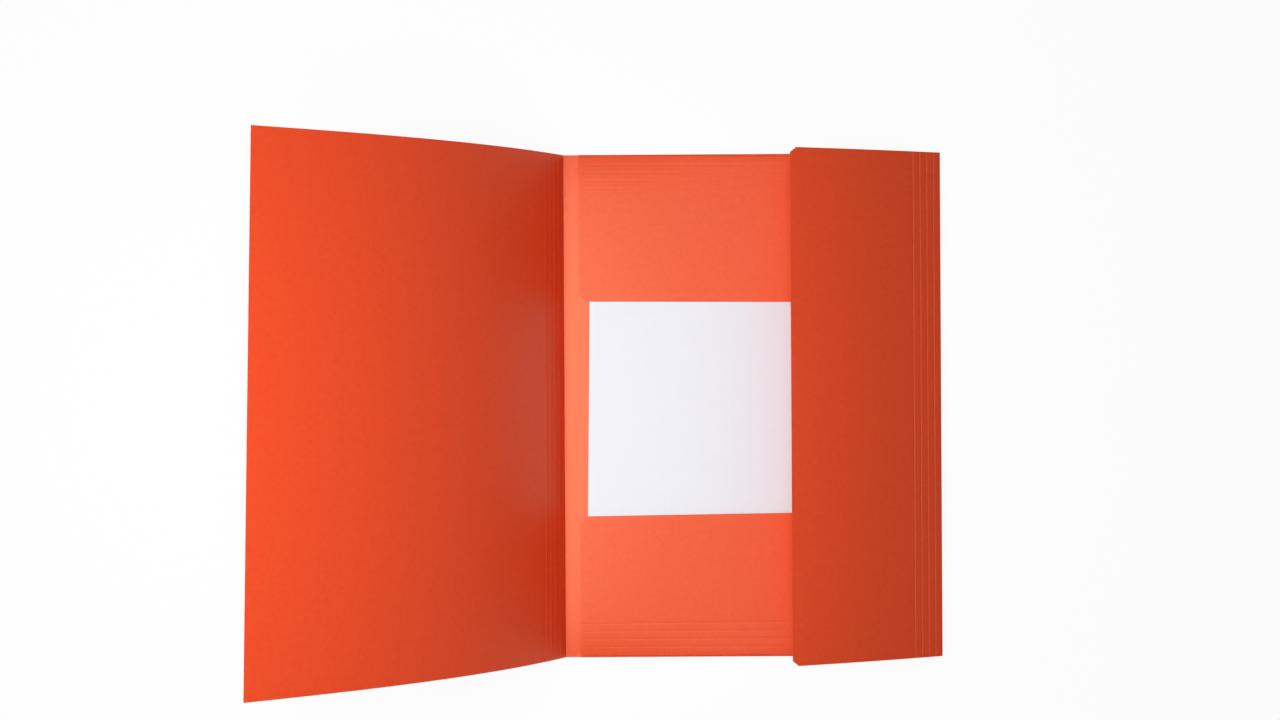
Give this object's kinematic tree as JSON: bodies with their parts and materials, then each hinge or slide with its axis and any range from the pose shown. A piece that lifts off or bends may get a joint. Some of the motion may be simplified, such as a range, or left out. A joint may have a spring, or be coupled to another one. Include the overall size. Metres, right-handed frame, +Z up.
{
  "type": "document folder",
  "caption": "Open three-flap card document folder lying flat, its cover and side flap raised, with white sheets held under the end flaps.",
  "frame": {"origin": "middle of the back panel's flat underside, where it rests on a table", "axes": "+X from the cover's fold towards the side flap's fold, +Y towards the top flap, +Z up from the table"},
  "size_m": [0.4164, 0.32, 0.168],
  "materials": {
    "card": "matt through-dyed card",
    "paper": "matt white copier paper"
  },
  "bodies": {
    "back": {"back_panel": "card", "document_sheets": "paper"},
    "cover": {"front_cover": "card"},
    "flap": {"side_flap": "card"}
  },
  "joints": [
    {"name": "cover_fold", "type": "hinge", "parent": "back", "child": "cover", "pos_m": [-0.12, 0, 0.00189], "axis": [0, 1, 0], "range_deg": [-42.3, 100.5]},
    {"name": "side_flap_fold", "type": "hinge", "parent": "back", "child": "flap", "pos_m": [0.12, 0, 0.00454], "axis": [0, 1, 0], "range_deg": [-16.5, 158.5]}
  ]
}
